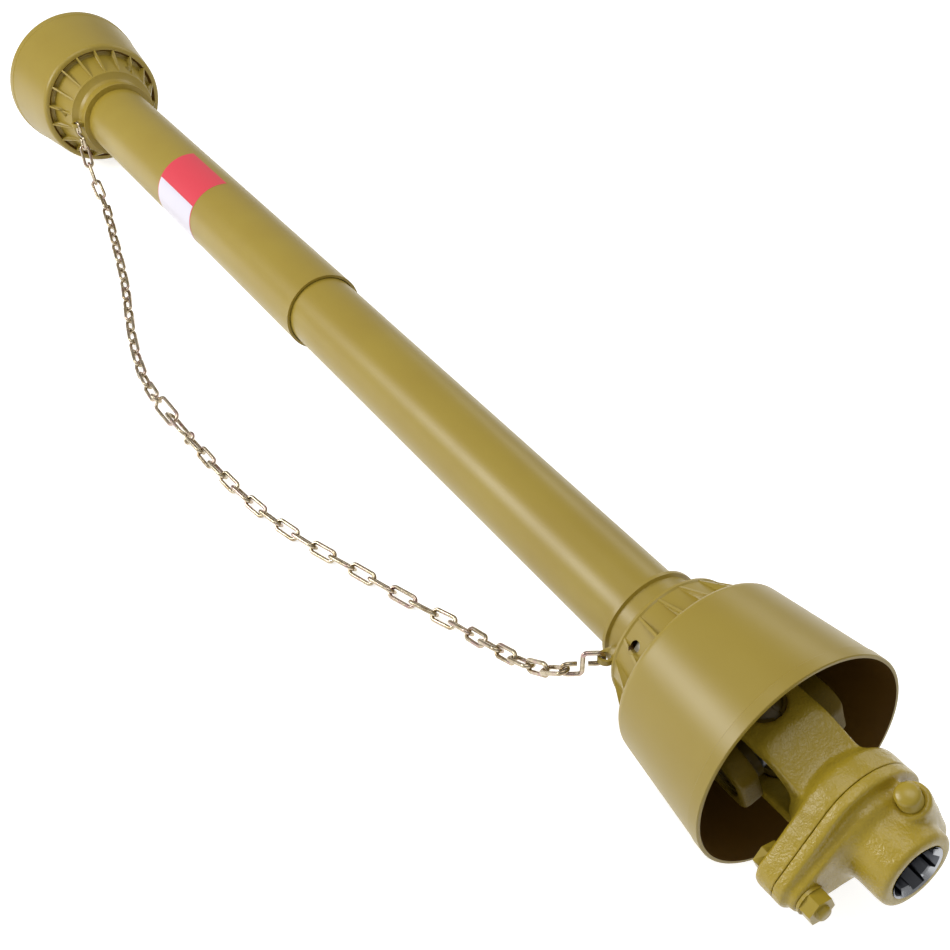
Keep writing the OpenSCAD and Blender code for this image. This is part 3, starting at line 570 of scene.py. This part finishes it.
def turned_tube(node, name):
    """A guard tube turned afresh in fine steps, at the CAD tube's own radii and length."""
    radii = [math.hypot(v.co.y, v.co.z) for v in frame["nodes"][node].data.vertices]
    low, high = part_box(node)
    corners = [(low.x, min(radii)), (high.x, min(radii)), (high.x, max(radii)), (low.x, max(radii))]
    bm = bmesh.new()
    ring = [bm.verts.new((x, 0, r)) for x, r in corners]
    edges = [bm.edges.new((ring[i], ring[i - 1])) for i in range(4)]
    bmesh.ops.spin(
        bm, geom=ring + edges, cent=(0, 0, 0), axis=(1, 0, 0), angle=2 * math.pi,
        steps=LATHE_STEPS, use_merge=True,
    )
    bmesh.ops.recalc_face_normals(bm, faces=bm.faces)
    stand_in(piece_from(bm, name, frame["nodes"][node].data.materials[0]), node)
    return max(radii)


for node in ("outer_guard_tube", "inner_guard_tube"):
    print(node, "is turned", round(2000 * turned_tube(node, node + "_skin"), 1), "mm across")

# %% [markdown]
# Each push pin is sprung. A spring's near end goes in with its pin and its far end stays in the yoke.
# Here the coil is a smooth copy that stays in place, and its length along the pin is measured.

# %% Springs of the push pins
PIN_SPRINGS = {"tractor_pin_spring": "tractor_pin_push", "implement_pin_spring": "implement_pin_push"}


def sprung_coil(node, joint):
    """A smooth copy of a spring that takes its node's place; gives its length along the pin."""
    inwards = Vector(joint["axis"]).normalized()
    spring = piece_from(merged_copy(node), node + "_coil", frame["nodes"][node].data.materials[0])
    points = [v.co for v in spring.data.vertices]
    centre = sum(points, Vector()) / len(points)
    reach = [(point - centre).dot(inwards) for point in points]
    start, end = centre + inwards * min(reach), centre + inwards * max(reach)
    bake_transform(spring)
    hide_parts(node)
    return (end - start).length


for node, joint in PIN_SPRINGS.items():
    print(node, "is", round(sprung_coil(node, JOINTS[joint]) / MM, 1), "mm long")

# %% [markdown]
# A casting has no sharp corner, inside or out. Bevels would need clean edges all round, which the
# flowing shapes of these castings don't have. So the CAD solid is cut into small cubes of surface, which
# are then relaxed: each corner melts into a fillet, and most in the flared yoke. The seam where the
# yoke's flange meets the hub's isn't relaxed, so that it stays a thin line. A slow noise then pushes the
# skin in and out as sand does. It leaves the faces across the shaft flat, which are machined.

# %% Cast skins
VOXEL_MM = 0.9
RELAX = {"limiter_yoke": 40, "limiter_hub": 22}
RELAX_USUAL = 14
HALFWAY = 0.5
SKIN_MM = ((11.0, 0.26), (4.5, 0.15))
FLAT_POWER = 4
SEAM = 1.1 * MM
SEAM_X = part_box("limiter_yoke")[1].x


def relaxed_copy(node):
    """A bmesh of a node, remeshed in small even faces and relaxed."""
    mesh = bpy.data.meshes.new("draft")
    bm = merged_copy(node)
    bm.to_mesh(mesh)
    bm.free()
    draft = bpy.data.objects.new("draft", mesh)
    bpy.context.scene.collection.objects.link(draft)
    cubes = draft.modifiers.new("cubes", "REMESH")
    cubes.mode = "VOXEL"
    cubes.voxel_size = VOXEL_MM * MM
    depsgraph = bpy.context.evaluated_depsgraph_get()
    bm = bmesh.new()
    bm.from_object(draft, depsgraph)
    bpy.data.objects.remove(draft)
    bpy.data.meshes.remove(mesh)
    free = [v for v in bm.verts if abs(v.co.x - SEAM_X) > SEAM]
    for _ in range(RELAX.get(node, RELAX_USUAL)):
        bmesh.ops.smooth_vert(
            bm, verts=free, factor=HALFWAY, use_axis_x=True, use_axis_y=True, use_axis_z=True,
        )
    return bm


def sand_skin(bm):
    """Pushes the skin along its normals by noise, except on faces across the shaft."""
    bm.normal_update()
    moves = []
    for vert in bm.verts:
        level = sum(size * noise.noise(vert.co * per_metre(wide)) for wide, size in SKIN_MM)
        moves.append(vert.normal * (level * MM * (1 - abs(vert.normal.x) ** FLAT_POWER)))
    for vert, move in zip(bm.verts, moves):
        vert.co += move


def cast_skin(node):
    bm = relaxed_copy(node)
    sand_skin(bm)
    return bm


def place_skin(bm, node):
    """Puts a cast skin in for its node."""
    count = len(bm.faces)
    enamel = frame["nodes"][node].data.materials[0]
    stand_in(piece_from(bm, node + "_skin", enamel, edge_angle=math.pi), node)
    print(node, "has a skin of", count, "faces")


place_skin(cast_skin("limiter_yoke"), "limiter_yoke")

# %% [markdown]
# The splined bore of the hub is broached after casting, and has to stay as sharp as in CAD. The relaxed
# skin is cut away inside a circle just outside the splines, and the solid's own faces are put back as a
# piece of bare steel. The quick-release yoke at the other end has the same bore, facing the other way.

# %% Splined bores
BORE_R = 18.46 * MM
FRONT = 0.5 * MM
CHAMFER_LEAN = 0.3


def axis_distance(point):
    return math.hypot(point.y, point.z)


def open_bore(bm):
    """Cuts the relaxed skin away inside the bore and rounds the edge that is left."""
    inside = [f for f in bm.faces if axis_distance(f.calc_center_median()) < BORE_R]
    bmesh.ops.delete(bm, geom=inside, context="FACES")
    for edge in bm.edges:
        if edge.is_boundary:
            for vert in edge.verts:
                r = axis_distance(vert.co)
                vert.co.y *= BORE_R / r
                vert.co.z *= BORE_R / r


def sharp_bore(node, front_x, way):
    """The CAD faces of a splined bore, without the front face round it. Its chamfer is bright steel, and
    the rest is dark: oil and painted shade.
    """
    bm = merged_copy(node)
    bm.normal_update()
    away = []
    for face in bm.faces:
        radii = [axis_distance(v.co) for v in face.verts]
        front = max((v.co.x - front_x) * way for v in face.verts) > -FRONT
        if min(radii) > BORE_R or (front and max(radii) > BORE_R):
            away.append(face)
        # Faces that look out of the mouth get bright steel; the rest of the bore keeps the painted shade.
        face.material_index = 1 if face.normal.x * way > CHAMFER_LEAN else 0
    bmesh.ops.delete(bm, geom=away, context="FACES")
    return bm


def bored_casting(node, way):
    """A cast skin with a sharp bore, whose mouth faces along X one way or the other."""
    bm = cast_skin(node)
    low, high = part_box(node)
    open_bore(bm)
    bore = piece_from(sharp_bore(node, high.x if way > 0 else low.x, way), node + "_bore", oiled_steel_painted_shade)
    bore.data.materials.append(bright_steel)
    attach(bore, BODY_OF[node])
    place_skin(bm, node)


bored_casting("limiter_hub", 1)
for node in ("implement_tube_yoke", "tractor_tube_yoke"):
    place_skin(cast_skin(node), node)
bored_casting("quick_release_yoke", -1)

# %% [markdown]
# The chain lies on the floor between the two halves of the guard. One blend over the whole chain would
# squash its links as the shaft closes. So each link is its own piece, and it stays where it lies.


def rigid_blend(piece):
    """Bakes a piece's placement into its mesh; it is not blended between the guard halves."""
    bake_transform(piece)


def loose_parts(bm):
    """The sets of vertices that hang together in a bmesh."""
    left, parts = set(bm.verts), []
    while left:
        found, edge = set(), [left.pop()]
        while edge:
            vert = edge.pop()
            found.add(vert)
            for link in vert.link_edges:
                other = link.other_vert(vert)
                if other in left:
                    left.remove(other)
                    edge.append(other)
        parts.append(found)
    return parts


def split_chain(node, name):
    """One smooth piece for each link of a chain node."""
    bm = merged_copy(node)
    parts = loose_parts(bm)
    centres = [sum((v.co for v in part), Vector()) / len(part) for part in parts]
    order = sorted(range(len(parts)), key=lambda i: centres[i].x)
    for count, i in enumerate(order):
        link = bm.copy()
        link.verts.ensure_lookup_table()
        keep = {v.index for v in parts[i]}
        bmesh.ops.delete(link, geom=[v for v in link.verts if v.index not in keep], context="VERTS")
        made = piece_from(link, f"{name}_{count + 1:02d}", zinc_plate)
        rigid_blend(made)
        if count == 0:
            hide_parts(node)
    bm.free()
    return len(parts)


for node in ("tractor_chain", "tractor_clip", "implement_chain", "implement_clip"):
    print(node, "has", split_chain(node, node + "_link"), "pieces")

# %% [markdown]
# The sticker on the outer tube is printed vinyl. Its printing is left off: what stays is a red field
# over a white one, with a thin red rim. A flat sheet would stand off the tube, so each field is a grid
# bent round the axis, and the white one lies a hair above the red.

# %% Sticker
STICKER_X = (414.4 * MM, 496.4 * MM)
STICKER_TOP = math.radians(102)
STICKER_FOOT = math.radians(-54)
FIELD_EDGE = math.radians(33)
RIM_MM = 1.4
LIFT = 0.12 * MM
ROLL_STEPS = 48
VINYL_GRAIN_MM = 2.0
VINYL_GRAIN_DEPTH = 0.1 * MM
tube_low, tube_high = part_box("outer_guard_tube")
TUBE_R = (tube_high.z - tube_low.z) / 2


def printed_vinyl(name, colour):
    made, tree = empty_material(name)
    place = add(tree, "ShaderNodeTexCoord")
    grain = add(
        tree, "ShaderNodeTexNoise", {"Scale": per_metre(VINYL_GRAIN_MM)},
        {"Vector": (place, "Object")},
    )
    bump = add(
        tree, "ShaderNodeBump", {"Strength": 0.05, "Distance": VINYL_GRAIN_DEPTH},
        {"Height": (grain, "Fac")},
    )
    skin = add(
        tree, "ShaderNodeBsdfPrincipled", {"Base Color": linear(colour), "Roughness": 0.34, "IOR": 1.46},
        {"Normal": (bump, 0)},
    )
    add(tree, "ShaderNodeOutputMaterial", links={"Surface": (skin, 0)})
    return made


def rolled_patch(name, x_range, turn_range, lift, material):
    """A thin sheet rolled onto the tube: a grid bent round the axis, from the chain side upwards."""
    r = TUBE_R + lift
    bm = bmesh.new()
    bmesh.ops.create_grid(bm, x_segments=2, y_segments=ROLL_STEPS, size=0.5)
    for vert in bm.verts:
        across, along = vert.co.y + 0.5, vert.co.x + 0.5
        x = x_range[0] + along * (x_range[1] - x_range[0])
        turn = turn_range[0] + across * (turn_range[1] - turn_range[0])
        vert.co = Vector((x, -r * math.cos(turn), r * math.sin(turn)))
    bmesh.ops.recalc_face_normals(bm, faces=bm.faces)
    if sum(face.normal.dot(outwards(face.calc_center_median())) for face in bm.faces) < 0:
        bmesh.ops.reverse_faces(bm, faces=bm.faces)
    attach(piece_from(bm, name, material), "tractor_guard")


sticker_red = printed_vinyl("red printed vinyl", "#D8404E")
sticker_white = printed_vinyl("white printed vinyl", "#D9D5E0")
rim = RIM_MM * MM
rolled_patch("sticker_red_field", STICKER_X, (STICKER_FOOT, STICKER_TOP), LIFT, sticker_red)
rolled_patch(
    "sticker_white_field", (STICKER_X[0] + rim, STICKER_X[1] - rim),
    (STICKER_FOOT + rim / TUBE_R, FIELD_EDGE), 2 * LIFT, sticker_white,
)
print("sticker on a tube of", round(2000 * TUBE_R, 1), "mm")
